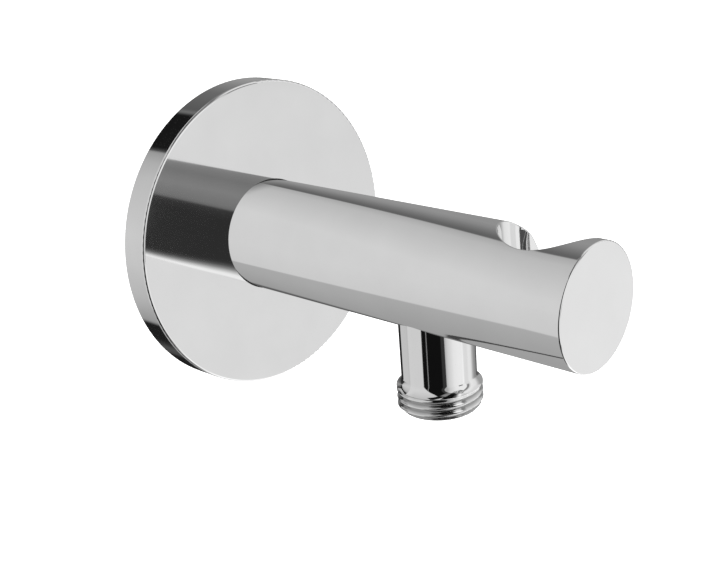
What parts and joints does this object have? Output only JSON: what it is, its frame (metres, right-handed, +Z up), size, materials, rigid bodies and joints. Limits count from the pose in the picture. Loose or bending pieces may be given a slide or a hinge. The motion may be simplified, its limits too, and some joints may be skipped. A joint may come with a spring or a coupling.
{
  "type": "wall outlet elbow",
  "caption": "Chromed wall outlet for a shower hose: round flange, plain round arm with a keyhole-shaped handset seat open to one side, and a threaded hose outlet below with a non-return valve.",
  "frame": {"origin": "on the finished wall plane, where the arm's axis crosses it behind the flange", "axes": "+Z up, -Y along the arm into the room, +Y into the wall, +X to the right as seen from the room"},
  "size_m": [0.08, 0.1254, 0.08],
  "materials": {
    "chrome_plate": "mirror-polished chrome plate on brass",
    "raw_brass": "turned, unplated",
    "black_rubber": "smooth moulded rubber",
    "stainless_steel": "plain",
    "white_acetal": "moulded"
  },
  "bodies": {
    "outlet": {"arm_body": "chrome_plate", "wall_flange": "chrome_plate", "flange_o_ring": "black_rubber", "inlet_nipple": "raw_brass", "nipple_rear_o_ring": "black_rubber", "nipple_front_o_ring": "black_rubber", "grub_screw": "stainless_steel", "outlet_spigot": "chrome_plate", "outlet_seal": "black_rubber", "valve_housing": "white_acetal", "valve_o_ring": "black_rubber", "valve_guide": "white_acetal", "valve_spring": "stainless_steel"},
    "poppet": {"valve_poppet": "white_acetal", "poppet_seal": "black_rubber"}
  },
  "joints": [
    {"name": "poppet_lift", "type": "slide", "parent": "outlet", "child": "poppet", "axis": [0, 0, -1], "range_m": [0, 0.0025], "stiffness_N_per_m": 60, "springref_m": -0.0025, "deforming": ["valve_spring"]}
  ]
}
